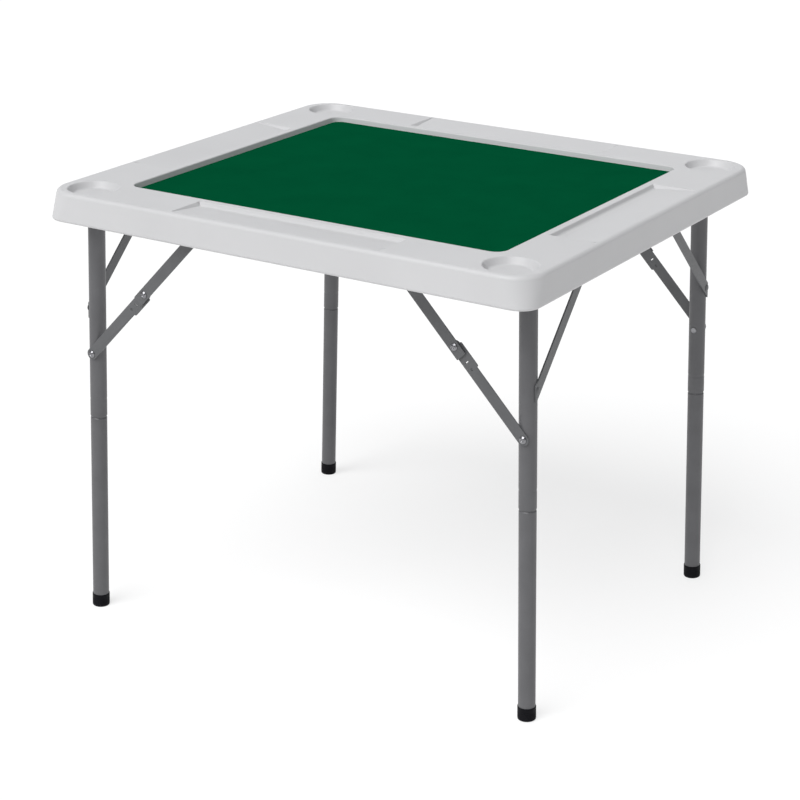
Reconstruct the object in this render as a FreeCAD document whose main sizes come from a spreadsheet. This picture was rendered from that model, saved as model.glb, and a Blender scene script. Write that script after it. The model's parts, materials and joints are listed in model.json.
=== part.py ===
import FreeCAD, Part
import math
import os
import Sketcher
from FreeCAD import Placement, Rotation, Vector

# Folding card table: a hollow moulded top with a felt playing field, four cup holders and four
# sloping chip trays, on two folding tube frames. Millimetres, +Z up, +X along the longer side.
# The origin is on the floor, under the middle of the top. "left" is -X and "front" is -Y.

SIZES = [
    # the moulded top
    ("table_height", 730, "floor to the top of the rim"),
    ("top_length", 880, "outer length along X, at the foot of the skirt"),
    ("top_width", 780, "outer width along Y, at the foot of the skirt"),
    ("corner_radius", 46, "outer corners in plan"),
    ("skirt_height", 49, "height of the rim's outer face"),
    ("skirt_draft", 2.5, "degrees that the skirt leans inwards going up"),
    ("rim_rounding", 6.5, "upper outer edge"),
    ("lower_rounding", 4, "lower outer edge"),
    ("skirt_thickness", 15, "hollow skirt, outer face to inner face"),
    ("deck_depth", 25, "rim top to the underside of the deck"),
    ("skin", 3, "wall of the hollow moulding"),
    ("well_inset", 12, "outer face to the hollow side of the inner skirt wall"),
    ("blow_hole_radius", 4, "blowing hole in the under skin"),
    # the playing field
    ("field_length", 680, "recess opening along X"),
    ("field_width", 590, "recess opening along Y"),
    ("field_radius", 20, "recess corners in plan"),
    ("field_depth", 9.6, "rim top to the recess floor"),
    ("field_draft", 12, "degrees that the recess wall leans out"),
    ("soft_edge", 2.5, "rounding of the edges of recess and cups"),
    ("felt_length", 675, "felt cloth along X"),
    ("felt_width", 585, "felt cloth along Y"),
    ("felt_radius", 17, "corners of the felt"),
    ("felt_thickness", 1, "felt cloth"),

    # cup holders and chip trays
    ("cup_radius", 41, "cup opening"),
    ("cup_floor_radius", 31, "cup floor"),
    ("cup_depth", 12, "rim top to cup floor"),
    ("cup_inset_x", 61, "cup axis to the outer face, along X"),
    ("cup_inset_y", 54, "cup axis to the outer face, along Y"),
    ("long_tray_length", 378, "tray opening on the front and back sides"),
    ("short_tray_length", 350, "tray opening on the left and right sides"),
    ("tray_depth", 7, "rim top to the deepest line of a tray"),
    ("tray_ridge", 13, "recess opening to tray opening"),
    ("tray_margin", 11, "tray opening to the outer face"),
    ("tray_draft", 4, "lean of the tray's inner wall, in plan"),
    ("tray_end_draft", 14, "lean of the tray's end walls, in plan"),
    # leg frames
    ("left_hinge_x", 370, "table middle to the left hinge axis"),
    ("right_hinge_x", 384, "table middle to the right hinge axis"),
    ("left_hinge_drop", 41.5, "rim top to the left hinge axis"),
    ("right_hinge_drop", 40, "rim top to the right hinge axis"),
    ("left_half_span", 336, "middle of the left frame to a leg, at the hinge"),
    ("right_half_span", 291, "middle of the right frame to a leg, at the hinge"),
    ("left_shift", -6, "Y of the left frame's middle"),
    ("right_shift", 0, "Y of the right frame's middle"),
    ("lean", 1.95, "degrees that a frame leans outwards going down"),
    ("splay", 0.77, "degrees that a leg leans outwards along Y going down"),
    ("tube_radius", 13.5, "upper leg tube and cross tube"),
    ("tube_wall", 1.5, "wall of every tube"),
    ("lower_tube_radius", 13, "lower leg tube"),
    ("leg_joint_height", 343, "floor to the joint between upper and lower tube"),
    ("spigot_length", 45, "reduced end of the lower tube inside the upper one"),
    ("crimp_rise", 30, "leg joint to the crimped ring above it"),
    ("crimp_depth", 0.4, "depth of the crimped ring"),
    ("foot_radius", 14.5, "foot cap"),
    ("foot_height", 20, "foot cap"),
    ("foot_floor", 4, "thickness of the foot cap's floor"),
    ("foot_trim", 1, "length of cap that is trimmed off level with the floor"),
    # fixed stays
    ("stay_width", 18, "diagonal stay"),
    ("stay_thickness", 2.5, "diagonal stay"),
    ("stay_run", 155, "leg to the stay's upper end, along the cross tube"),
    ("stay_drop", 158, "hinge axis to the stay's lower rivet, along the leg"),
    ("stay_end", 4.5, "stay's lower rivet to the end that is cut parallel to the leg"),
    # folding braces
    ("arm_width", 18.5, "brace arm"),
    ("arm_thickness", 2, "brace arm"),
    ("arm_gap", 2, "between the two arms of a brace"),
    ("arm_clearance", 0.3, "leg tube to the lower arm"),
    ("arm_tail", 18.5, "upper arm past the knee rivet"),
    ("knee_flare", 3, "extra width of the lower arm beside the knee"),
    ("knee_flare_length", 44, "length of that wider stretch"),
    ("lock_slot_distance", 30, "knee rivet to the pressed slot"),
    ("lock_hole_distance", 42, "knee rivet to the punched hole"),
    ("lock_hole_radius", 2.2, "punched hole"),
    ("brace_reach", 212, "hinge axis to the brace bracket's pivot, along X"),
    ("brace_drop", 231, "hinge axis to the leg rivet, along the leg"),
    # rivets and screws
    ("shank_radius", 3, "rivet shank"),
    ("pivot_clearance", 0.05, "radial clearance of a turning rivet or tube"),
    ("head_radius", 6, "domed rivet head"),
    ("head_height", 3.5, "domed rivet head"),
    ("tail_radius", 5, "flat rivet tail"),
    ("tail_height", 1.2, "flat rivet tail"),
    ("screw_radius", 2, "screw shank"),
    ("screw_bite", 8, "screw length in the deck"),
    ("screw_head_radius", 4, "pan head"),
    ("screw_head_height", 1.6, "pan head"),
    # hinge saddles and brace brackets
    ("saddle_length", 66, "along X"),
    ("saddle_width", 26, "along Y"),
    ("saddle_wall", 4, "around the cross tube"),
    ("saddle_base", 4, "base plate"),
    ("saddle_screw_offset", 26, "hinge axis to a saddle screw"),
    ("saddle_gap", 16, "stay's upper end to the saddle"),
    ("bracket_length", 60, "along X"),
    ("bracket_thickness", 2.5, "base and ear"),
    ("bracket_screw_offset", 23, "pivot to a bracket screw"),
    ("bracket_ear_width", 22, "along X"),
]

doc = FreeCAD.newDocument("folding_card_table")
sheet = doc.addObject("Spreadsheet::Sheet", "Sizes")
size = {}
for row, (alias, number, note) in enumerate(SIZES, 1):
    sheet.set("A%d" % row, alias)
    sheet.set("B%d" % row, str(number))
    sheet.set("C%d" % row, note)
    sheet.setAlias("B%d" % row, alias)
    size[alias] = float(number)
doc.recompute()

SIDES = {"left": -1, "right": 1}
ENDS = {"front": -1, "back": 1}
TOP = size["table_height"]
DECK_UNDERSIDE = TOP - size["deck_depth"]
LEVEL = 1e-3       # two heights or lengths this close count as the same
subparts = []


# ---------------------------------------------------------------- small helpers

def bind(item, **formulas):
    """Bind properties of an object to formulas of the sheet's cells."""
    for name, formula in formulas.items():
        item.setExpression(name, formula)
    return item


def cylinder(name, radius, height, base, direction=Vector(0, 0, 1)):
    """A cylinder whose radius is a formula and whose height is a formula."""
    item = bind(doc.addObject("Part::Cylinder", name), Radius=radius, Height=height)
    item.Placement = Placement(base, Rotation(Vector(0, 0, 1), direction))
    return item


def block(name, length, width, height, corner):
    """A box along the axes, from its lowest corner."""
    item = bind(doc.addObject("Part::Box", name), Length=length, Width=width, Height=height)
    item.Placement = Placement(corner, Rotation())
    return item


def fuse(name, pieces):
    item = doc.addObject("Part::MultiFuse", name)
    item.Shapes = pieces
    item.Refine = True
    return item


def cut(name, base, tool):
    item = doc.addObject("Part::Cut", name)
    item.Base = base
    item.Tool = tool
    item.Refine = True
    return item


def group(name, pieces):
    """Separate identical fasteners kept together in one node."""
    item = doc.addObject("Part::Compound", name)
    item.Links = pieces
    return item


def subpart(item, label, place=None):
    item.Label = label
    if place is not None:
        item.Placement = place
    subparts.append(item)
    return item


def rounded_block(name, length, width, radius, height, low, grow=("skin", 0), taper="0"):
    """A pad with rounded corners in plan, centred on the Z axis, its sketch plane at z = low.

    Length, width and radius are cell names, and grow = (cell, times) moves every side outwards
    by that many times that cell. A negative height pads downwards."""
    cell, times = grow
    wider = " + %g * Sizes.%s" % (2 * times, cell)
    half_x = size[length] / 2 + times * size[cell]
    half_y = size[width] / 2 + times * size[cell]
    turn = size[radius] + times * size[cell]
    body = doc.addObject("PartDesign::Body", name)
    plane = next(item for item in body.Origin.OriginFeatures if item.Role == "XY_Plane")
    sketch = body.newObject("Sketcher::SketchObject", name + "_outline")
    sketch.AttachmentSupport = (plane, [""])
    sketch.MapMode = "FlatFace"
    inner_x = half_x - turn
    inner_y = half_y - turn
    corners = [(1, -1, -90), (1, 1, 0), (-1, 1, 90), (-1, -1, 180)]
    lines = [
        (Vector(-inner_x, -half_y, 0), Vector(inner_x, -half_y, 0)),
        (Vector(half_x, -inner_y, 0), Vector(half_x, inner_y, 0)),
        (Vector(inner_x, half_y, 0), Vector(-inner_x, half_y, 0)),
        (Vector(-half_x, inner_y, 0), Vector(-half_x, -inner_y, 0)),
    ]
    for start, end in lines:
        sketch.addGeometry(Part.LineSegment(start, end))
    for sign_x, sign_y, start in corners:
        centre = Vector(sign_x * inner_x, sign_y * inner_y, 0)
        circle = Part.Circle(centre, Vector(0, 0, 1), turn)
        first = math.radians(start)
        sketch.addGeometry(Part.ArcOfCircle(circle, first, first + math.pi / 2))
    for index in range(4):
        arc = 4 + index
        sketch.addConstraint(Sketcher.Constraint("Tangent", index, 2, arc, 1))
        sketch.addConstraint(Sketcher.Constraint("Tangent", arc, 2, (index + 1) % 4, 1))
        sketch.addConstraint(Sketcher.Constraint("Vertical" if index % 2 else "Horizontal", index))
    for arc in range(5, 8):
        sketch.addConstraint(Sketcher.Constraint("Equal", 4, arc))
    sketch.addConstraint(Sketcher.Constraint("Symmetric", 4, 3, 6, 3, -1, 1))
    sketch.addConstraint(Sketcher.Constraint("Radius", 4, turn))
    sketch.renameConstraint(sketch.ConstraintCount - 1, "turn")
    sketch.addConstraint(Sketcher.Constraint("DistanceX", 3, 1, 1, 1, 2 * half_x))
    sketch.renameConstraint(sketch.ConstraintCount - 1, "along")
    sketch.addConstraint(Sketcher.Constraint("DistanceY", 0, 1, 2, 1, 2 * half_y))
    sketch.renameConstraint(sketch.ConstraintCount - 1, "across")
    sketch.setExpression("Constraints.turn", "Sizes.%s + %g * Sizes.%s" % (radius, times, cell))
    sketch.setExpression("Constraints.along", "Sizes." + length + wider)
    sketch.setExpression("Constraints.across", "Sizes." + width + wider)
    pad = body.newObject("PartDesign::Pad", name + "_pad")
    pad.Profile = sketch
    pad.Reversed = height.startswith("-")
    pad.setExpression("Length", height.lstrip("-"))
    pad.setExpression("TaperAngle", taper)
    body.Placement = Placement(Vector(0, 0, low), Rotation())
    doc.recompute()
    return body


def round_level_edges(body, heights, radii):
    """Round every edge of a body that lies level at a height, in the body's own frame."""
    for height, radius in zip(heights, radii):
        base = body.Tip
        names = []
        for index, edge in enumerate(base.Shape.Edges, 1):
            box = edge.BoundBox
            if abs(box.ZMin - height) < LEVEL and abs(box.ZMax - height) < LEVEL:
                names.append("Edge%d" % index)
        fillet = body.newObject("PartDesign::Fillet", base.Name + "_round")
        fillet.Base = (base, names)
        fillet.setExpression("Radius", radius)
        doc.recompute()


# ---------------------------------------------------------------- the moulded top

def tray_cutter(name, length, side_width, turn_degrees, grown):
    """The hollow of one tray: a wedge, deepest along its inner wall, level with the rim outside.

    grown adds the skin all round, for the hollow of the moulding to keep its wall."""
    extra = "Sizes.skin" if grown else "0 * Sizes.skin"
    wall = size["skin"] if grown else 0.0
    field = "field_width" if side_width == "top_width" else "field_length"
    inner = size[field] / 2 + size["tray_ridge"] - wall
    reach = "(Sizes.%s - Sizes.%s) / 2 - Sizes.tray_ridge - Sizes.tray_margin" % (side_width, field)
    item = bind(
        doc.addObject("Part::Wedge", name),
        Xmin="-Sizes.%s / 2 - %s" % (length, extra),
        Xmax="Sizes.%s / 2 + %s" % (length, extra),
        X2min="-Sizes.%s / 2 + Sizes.tray_end_draft - %s" % (length, extra),
        X2max="Sizes.%s / 2 - Sizes.tray_end_draft + %s" % (length, extra),
        Ymin="0 * Sizes.skin",
        Ymax="Sizes.tray_depth + " + extra,
        Zmin="0 * Sizes.skin",
        Zmax=reach + " + 3 * " + extra,
        Z2min="Sizes.tray_draft",
        Z2max="Sizes.tray_draft + 2 * " + extra,
    )
    tip_down = Rotation(Vector(1, 0, 0), -90)
    around = Rotation(Vector(0, 0, 1), turn_degrees)
    place = Placement(around.multVec(Vector(0, inner, TOP)), around.multiply(tip_down))
    item.Placement = place
    return item


def tray_cutters(grown):
    prefix = "tray_wall" if grown else "tray"
    pieces = []
    for turn in (0, 180):
        pieces.append(
            tray_cutter("%s_%d" % (prefix, turn), "long_tray_length", "top_width", turn, grown))
    for turn in (90, 270):
        pieces.append(
            tray_cutter("%s_%d" % (prefix, turn), "short_tray_length", "top_length", turn, grown))
    return pieces


def cup_places():
    x = size["top_length"] / 2 - size["cup_inset_x"]
    y = size["top_width"] / 2 - size["cup_inset_y"]
    return [Vector(sx * x, sy * y, TOP) for sx in (-1, 1) for sy in (-1, 1)]


def cup_cutters(grown):
    """The hollows of the four cup holders, each a cone that narrows downwards."""
    extra = "Sizes.skin" if grown else "0 * Sizes.skin"
    drop = size["cup_depth"] + (size["skin"] if grown else 0.0)
    pieces = []
    for number, place in enumerate(cup_places(), 1):
        cone = bind(
            doc.addObject("Part::Cone", ("cup_wall_%d" if grown else "cup_%d") % number),
            Radius1="Sizes.cup_floor_radius + " + extra,
            Radius2="Sizes.cup_radius + " + extra,
            Height="Sizes.cup_depth + " + extra,
        )
        cone.Placement = Placement(place - Vector(0, 0, drop), Rotation())
        pieces.append(cone)
    return pieces


def moulding_hollow():
    """The air space between the moulding's skins, open to the outside by the blowing hole."""
    outline = rounded_block(
        "hollow_outline", "top_length", "top_width", "corner_radius",
        "Sizes.skirt_height - 2 * Sizes.skin", TOP - size["skirt_height"] + size["skin"],
        grow=("skin", -1), taper="-Sizes.skirt_draft")
    field = rounded_block(
        "hollow_field", "field_length", "field_width", "field_radius",
        "-(Sizes.field_depth + Sizes.skin)", TOP, grow=("skin", 1))
    well = rounded_block(
        "hollow_well", "top_length", "top_width", "corner_radius",
        "Sizes.skirt_height - Sizes.deck_depth + Sizes.skin", TOP - size["skirt_height"],
        grow=("well_inset", -1))
    walls = fuse("hollow_walls", [field, well] + tray_cutters(True) + cup_cutters(True))
    return cut("hollow", outline, walls)


def soften(name, base):
    """Round the upper edges of the recess and of the cups."""
    doc.recompute()
    radius = size["soft_edge"]
    cups = cup_places()
    half_x = size["field_length"] / 2
    half_y = size["field_width"] / 2
    edges = []
    for index, edge in enumerate(base.Shape.Edges, 1):
        box = edge.BoundBox
        if abs(box.ZMin - TOP) > LEVEL or abs(box.ZMax - TOP) > LEVEL:
            continue
        middle = edge.valueAt((edge.FirstParameter + edge.LastParameter) / 2)
        on_field = abs(middle.x) < half_x + LEVEL and abs(middle.y) < half_y + LEVEL
        on_cup = any(abs((middle - cup).Length - size["cup_radius"]) < LEVEL for cup in cups)
        if on_field or on_cup:
            edges.append((index, radius, radius))
    fillet = doc.addObject("Part::Fillet", name)
    fillet.Base = base
    fillet.Edges = edges
    return fillet


def screw_spots():
    """Every screw under the deck: (where it meets the deck's underside, its clamped thickness)."""
    spots = []
    for side in SIDES:
        for end in ENDS:
            middle = saddle_middle(side, end)
            for sign in (-1, 1):
                spot = Vector(middle.x + sign * size["saddle_screw_offset"], middle.y, DECK_UNDERSIDE)
                spots.append(("saddle", spot))
            pivot = bracket_pivot(side, end)
            for sign in (-1, 1):
                spot = Vector(pivot.x + sign * size["bracket_screw_offset"],
                              bracket_base_middle(side, end), DECK_UNDERSIDE)
                spots.append(("bracket", spot))
    return spots


def make_tabletop():
    """One hollow moulding: rim, skirt, deck, recess, cups and trays."""
    outside = rounded_block(
        "outside", "top_length", "top_width", "corner_radius",
        "Sizes.skirt_height", TOP - size["skirt_height"], taper="-Sizes.skirt_draft")
    round_level_edges(outside, (size["skirt_height"], 0.0),
                      ("Sizes.rim_rounding", "Sizes.lower_rounding"))
    field = rounded_block(
        "field_cutter", "field_length", "field_width", "field_radius",
        "-Sizes.field_depth", TOP, taper="-Sizes.field_draft")
    well = rounded_block(
        "well_cutter", "top_length", "top_width", "corner_radius",
        "Sizes.skirt_height - Sizes.deck_depth", TOP - size["skirt_height"],
        grow=("skirt_thickness", -1))
    above = fuse("upper_cutters", [field] + cup_cutters(False) + tray_cutters(False))
    carved = cut("carved", outside, above)
    softened = soften("softened", carved)
    pilot_holes = [
        cylinder("pilot_hole_%d" % number, "Sizes.screw_radius", "Sizes.screw_bite", spot)
        for number, (_, spot) in enumerate(screw_spots(), 1)
    ]
    blow_hole = cylinder(
        "blow_hole", "Sizes.blow_hole_radius", "2 * Sizes.skin",
        Vector(0, 0, DECK_UNDERSIDE - size["skin"] / 2))
    below = fuse("lower_cutters", [well, moulding_hollow(), blow_hole] + pilot_holes)
    subpart(cut("tabletop", softened, below), "tabletop")


def make_felt():
    """The playing cloth, glued to the recess floor."""
    felt = rounded_block(
        "felt", "felt_length", "felt_width", "felt_radius", "Sizes.felt_thickness",
        TOP - size["field_depth"])
    subpart(felt, "felt")


# ---------------------------------------------------------------- places on the leg frames

def hinge_axis(side):
    """The middle of a frame's hinge axis."""
    return Vector(
        SIDES[side] * size[side + "_hinge_x"], size[side + "_shift"], TOP - size[side + "_hinge_drop"])


def frame_place(side):
    """A frame's own axes: origin on the hinge axis, X outwards from the table, Z up the frame."""
    around = Rotation(Vector(0, 0, 1), 0 if side == "right" else 180)
    tilt = Rotation(Vector(0, 1, 0), -size["lean"])
    return Placement(hinge_axis(side), around.multiply(tilt))


def own_end(side, end):
    """+1 or -1 along the frame's own Y for a table end: the left frame is turned by 180 degrees."""
    return ENDS[end] * SIDES[side]


def leg_place(side, end):
    """A leg's axes: origin on the hinge axis, Z up the leg."""
    sign = own_end(side, end)
    splay = Rotation(Vector(1, 0, 0), sign * size["splay"])
    own = Placement(Vector(0, sign * size[side + "_half_span"], 0), splay)
    return frame_place(side).multiply(own)


def leg_rivet(side, end):
    """Where the leg rivet's axis crosses the leg's axis."""
    return leg_place(side, end).multVec(Vector(0, 0, -size["brace_drop"]))


def arm_face(side, end):
    """Y of the leg's outermost line, at the leg rivet."""
    return leg_rivet(side, end).y + ENDS[end] * size["tube_radius"]


def bracket_pivot(side, end):
    """The upper pivot of a folding brace, level with the hinge axis."""
    axis = hinge_axis(side)
    return Vector(axis.x - SIDES[side] * size["brace_reach"], arm_face(side, end), axis.z)


def bracket_base_middle(side, end):
    """Y of the middle of a bracket's narrow base."""
    width = bracket_base_width()
    near = arm_face(side, end) + ENDS[end] * 2 * size["arm_clearance"]
    return near + ENDS[end] * width / 2


def ear_offset():
    """Leg face to the inner face of the bracket's ear."""
    return 2 * size["arm_clearance"] + 2 * size["arm_thickness"] + size["arm_gap"]


def bracket_base_width():
    return 2 * size["arm_thickness"] + size["arm_gap"] + size["bracket_thickness"]


def saddle_middle(side, end):
    inset = size["stay_run"] + size["stay_width"] / 2 + size["saddle_gap"]
    axis = hinge_axis(side)
    return Vector(axis.x, axis.y + ENDS[end] * (size[side + "_half_span"] - inset), axis.z)


def brace_lengths(side, end):
    """Lower and upper arm, rivet to rivet: in line when open, folded back on each other when shut."""
    rivet = leg_rivet(side, end)
    pivot = bracket_pivot(side, end)
    span = math.hypot(rivet.x - pivot.x, rivet.z - pivot.z)
    spare = size["brace_drop"] - size["brace_reach"]
    return (span + spare) / 2, (span - spare) / 2


def brace_formulas():
    """The same two lengths as formulas of the sheet's cells."""
    across = "(Sizes.brace_reach + Sizes.brace_drop * cos(Sizes.splay) * sin(Sizes.lean))"
    down = "(Sizes.brace_drop * cos(Sizes.splay) * cos(Sizes.lean))"
    span = "sqrt(%s ^ 2 + %s ^ 2)" % (across, down)
    spare = "(Sizes.brace_drop - Sizes.brace_reach)"
    return "(%s + %s) / 2" % (span, spare), "(%s - %s) / 2" % (span, spare)


# ---------------------------------------------------------------- rivets

def dome(name, base, outwards):
    """The domed head of a rivet, flat side on base."""
    ball = "(Sizes.head_radius ^ 2 + Sizes.head_height ^ 2) / (2 * Sizes.head_height)"
    radius = (size["head_radius"] ** 2 + size["head_height"] ** 2) / (2 * size["head_height"])
    item = bind(
        doc.addObject("Part::Sphere", name),
        Radius=ball,
        Angle1="asin((%s - Sizes.head_height) / (%s))" % (ball, ball),
    )
    item.Angle2 = 90
    centre = base - outwards * (radius - size["head_height"])
    item.Placement = Placement(centre, Rotation(Vector(0, 0, 1), outwards))
    return item


def rivet(name, face, outwards, grip, tail=True):
    """A rivet with its dome on face, its shank going back by grip, and a flat tail behind."""
    pieces = [dome(name + "_dome", face, outwards)]
    pieces.append(cylinder(name + "_shank", "Sizes.shank_radius", grip[0], face, outwards * -1))
    if tail:
        back = face - outwards * grip[1]
        pieces.append(
            cylinder(name + "_tail", "Sizes.tail_radius", "Sizes.tail_height", back, outwards * -1))
    return fuse(name, pieces)


# ---------------------------------------------------------------- leg frames

def make_cross_tube(side):
    """The hinge tube that the legs are welded to. It turns in the saddles."""
    half = "Sizes.%s_half_span + Sizes.tube_radius" % side
    start = Vector(0, -(size[side + "_half_span"] + size["tube_radius"]), 0)
    along = Vector(0, 1, 0)
    outer = cylinder(side + "_cross_outer", "Sizes.tube_radius", "2 * (%s)" % half, start, along)
    bore = cylinder(
        side + "_cross_bore", "Sizes.tube_radius - Sizes.tube_wall", "2 * (%s)" % half, start, along)
    tube = cut(side + "_cross_tube", outer, bore)
    subpart(tube, side + "_cross_tube", frame_place(side))


def leg_length():
    """Hinge axis to floor along a leg, for each side."""
    slope = math.cos(math.radians(size["lean"])) * math.cos(math.radians(size["splay"]))
    return {side: hinge_axis(side).z / slope for side in SIDES}


def joint_distance(side):
    """Hinge axis to the joint between the upper and lower tube."""
    slope = math.cos(math.radians(size["lean"])) * math.cos(math.radians(size["splay"]))
    return (hinge_axis(side).z - size["leg_joint_height"]) / slope


def make_upper_leg(side, end):
    name = "%s_%s_upper_leg" % (side, end)
    length = joint_distance(side)
    slope = "(cos(Sizes.lean) * cos(Sizes.splay))"
    drop = "(Sizes.table_height - Sizes.%s_hinge_drop - Sizes.leg_joint_height)" % side
    formula = "%s / %s" % (drop, slope)
    low = Vector(0, 0, -length)
    outer = cylinder(name + "_outer", "Sizes.tube_radius", formula, low)
    bore = cylinder(name + "_bore", "Sizes.tube_radius - Sizes.tube_wall", formula, low)
    across = Vector(0, 1, 0)
    reach = size["tube_radius"] * 2
    cope = cylinder(name + "_cope", "Sizes.tube_radius", "4 * Sizes.tube_radius",
                    Vector(0, -reach, 0), across)
    rivet_hole = cylinder(name + "_rivet_hole", "Sizes.shank_radius", "4 * Sizes.tube_radius",
                          Vector(0, -reach, -size["brace_drop"]), across)
    stay_hole = cylinder(name + "_stay_hole", "Sizes.shank_radius", "2 * Sizes.tube_radius",
                         Vector(0, 0, -size["stay_drop"]), Vector(1, 0, 0))
    crimp = bind(
        doc.addObject("Part::Torus", name + "_crimp"),
        Radius1="Sizes.tube_radius + 3 * Sizes.crimp_depth",
        Radius2="4 * Sizes.crimp_depth",
    )
    crimp.Placement = Placement(Vector(0, 0, -length + size["crimp_rise"]), Rotation())
    tools = fuse(name + "_cuts", [bore, cope, rivet_hole, stay_hole, crimp])
    subpart(cut(name, outer, tools), name, leg_place(side, end))


def make_lower_leg(side, end):
    """The lower tube, with a reduced spigot pressed into the upper tube."""
    name = "%s_%s_lower_leg" % (side, end)
    length = leg_length()[side]
    joint = joint_distance(side)
    visible = "Sizes.leg_joint_height / (cos(Sizes.lean) * cos(Sizes.splay)) - Sizes.foot_floor"
    low = Vector(0, 0, -length + size["foot_floor"])
    main = cylinder(name + "_main", "Sizes.lower_tube_radius", visible, low)
    main_bore = cylinder(name + "_main_bore", "Sizes.lower_tube_radius - 2 * Sizes.tube_wall",
                         visible + " + Sizes.spigot_length", low)
    spigot = cylinder(name + "_spigot", "Sizes.tube_radius - Sizes.tube_wall",
                      "Sizes.spigot_length", Vector(0, 0, -joint))
    tube = cut(name, fuse(name + "_solid", [main, spigot]), main_bore)
    subpart(tube, name, leg_place(side, end))


def make_foot(side, end):
    """A rubber cap over the tube's end, its underside level on the floor."""
    name = "%s_%s_foot" % (side, end)
    length = leg_length()[side]
    low = Vector(0, 0, -length - size["foot_trim"])
    cap = cylinder(name + "_cap", "Sizes.foot_radius", "Sizes.foot_height + Sizes.foot_trim", low)
    socket = cylinder(name + "_socket", "Sizes.lower_tube_radius", "Sizes.foot_height",
                      Vector(0, 0, -length + size["foot_floor"]))
    shell = cut(name + "_shell", cap, socket)
    shell.Placement = leg_place(side, end)
    spot = leg_place(side, end).multVec(Vector(0, 0, -length))
    half = 2 * size["foot_radius"]
    floor = block(name + "_floor", "4 * Sizes.foot_radius", "4 * Sizes.foot_radius",
                  "Sizes.foot_radius", Vector(spot.x - half, spot.y - half, -size["foot_radius"]))
    subpart(cut(name, shell, floor), name)


def make_stay(side, end):
    """A flat stay across the outer face of the frame, from the leg to the cross tube."""
    name = "%s_%s_stay" % (side, end)
    lower_y, upper_y = stay_ends(side, end)
    run = upper_y - lower_y
    length = math.hypot(run, size["stay_drop"])
    formula = "sqrt((Sizes.stay_run + Sizes.stay_drop * tan(Sizes.splay)) ^ 2 + Sizes.stay_drop ^ 2)"
    half = size["stay_width"] / 2
    strip = block(name + "_strip", formula + " + Sizes.stay_width", "Sizes.stay_width",
                  "Sizes.stay_thickness", Vector(-size["stay_width"], -half, 0))
    upper_end = cylinder(name + "_upper_end", "Sizes.stay_width / 2", "Sizes.stay_thickness",
                         Vector(length, 0, 0))
    holes = [
        cylinder("%s_hole_%d" % (name, number), "Sizes.shank_radius", "Sizes.stay_thickness",
                 Vector(along, 0, 0))
        for number, along in enumerate((0, length), 1)
    ]
    across = math.degrees(math.atan2(math.copysign(size["stay_drop"], run), -abs(run)))
    turned = Rotation(Vector(0, 0, 1), across)
    corner = turned.multVec(Vector(size["stay_end"], -2 * size["stay_width"], 0))
    trim = block(name + "_trim", "2 * Sizes.stay_width", "4 * Sizes.stay_width",
                 "Sizes.stay_thickness", corner)
    trim.Placement = Placement(corner, turned)
    solid = fuse(name + "_solid", [strip, upper_end])
    stay = cut(name, solid, fuse(name + "_cuts", [*holes, trim]))
    along = Vector(0, run, size["stay_drop"]).normalize()
    outwards = Vector(1, 0, 0)
    turn = Rotation(along, outwards.cross(along), outwards, "XZY")
    own = Placement(Vector(size["tube_radius"], lower_y, -size["stay_drop"]), turn)
    subpart(stay, name, frame_place(side).multiply(own))


def stay_ends(side, end):
    """Y of a stay's lower and upper end, in the frame's own axes."""
    sign = own_end(side, end)
    lean_out = size["stay_drop"] * math.tan(math.radians(size["splay"]))
    span = size[side + "_half_span"]
    return sign * (span + lean_out), sign * (span - size["stay_run"])


def make_frame_rivets(side):
    """The rivets of one frame: two for each stay, and the two that the braces turn on."""
    pieces = []
    outwards = Vector(1, 0, 0)
    face_x = size["tube_radius"] + size["stay_thickness"]
    for end in ENDS:
        lower_y, upper_y = stay_ends(side, end)
        for place, y, z in (("lower", lower_y, -size["stay_drop"]), ("upper", upper_y, 0)):
            name = "%s_%s_stay_rivet_%s" % (side, end, place)
            grip = ("Sizes.stay_thickness + 2 * Sizes.tube_wall",
                    size["stay_thickness"] + 2 * size["tube_wall"])
            piece = rivet(name, Vector(face_x, y, z), outwards, grip, tail=False)
            piece.Placement = frame_place(side)
            pieces.append(piece)
        name = "%s_%s_leg_rivet" % (side, end)
        outer = arm_face(side, end) + ENDS[end] * (size["arm_clearance"] + size["arm_thickness"])
        middle = leg_rivet(side, end)
        stack = "2 * Sizes.tube_radius + Sizes.arm_clearance + Sizes.arm_thickness"
        depth = 2 * size["tube_radius"] + size["arm_clearance"] + size["arm_thickness"]
        face = Vector(middle.x, outer, middle.z)
        pieces.append(rivet(name, face, Vector(0, ENDS[end], 0), (stack, depth)))
    subpart(group(side + "_frame_rivets", pieces), side + "_frame_rivets")


# ---------------------------------------------------------------- folding braces

def arm_strip(name, length, layer):
    """A flat bar of a formula's length along X, and its round end about a pivot at the origin."""
    half = size["arm_width"] / 2
    body = block(name + "_bar", length, "Sizes.arm_thickness", "Sizes.arm_width",
                 Vector(0, layer, -half))
    along = Vector(0, 1, 0)
    near = cylinder(name + "_near", "Sizes.arm_width / 2", "Sizes.arm_thickness",
                    Vector(0, layer, 0), along)
    return body, near


def brace_angle(side, end, from_leg):
    """Direction of an arm at rest, as a turn about Y from +X."""
    rivet_point = leg_rivet(side, end)
    pivot = bracket_pivot(side, end)
    way = pivot - rivet_point if from_leg else rivet_point - pivot
    return Rotation(Vector(0, 1, 0), -math.degrees(math.atan2(way.z, way.x)))


def layer_start(end, first):
    """Own-Y start of an arm's layer, from the leg's outer face; the front arms face -Y."""
    return first if ENDS[end] > 0 else -first - size["arm_thickness"]


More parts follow.
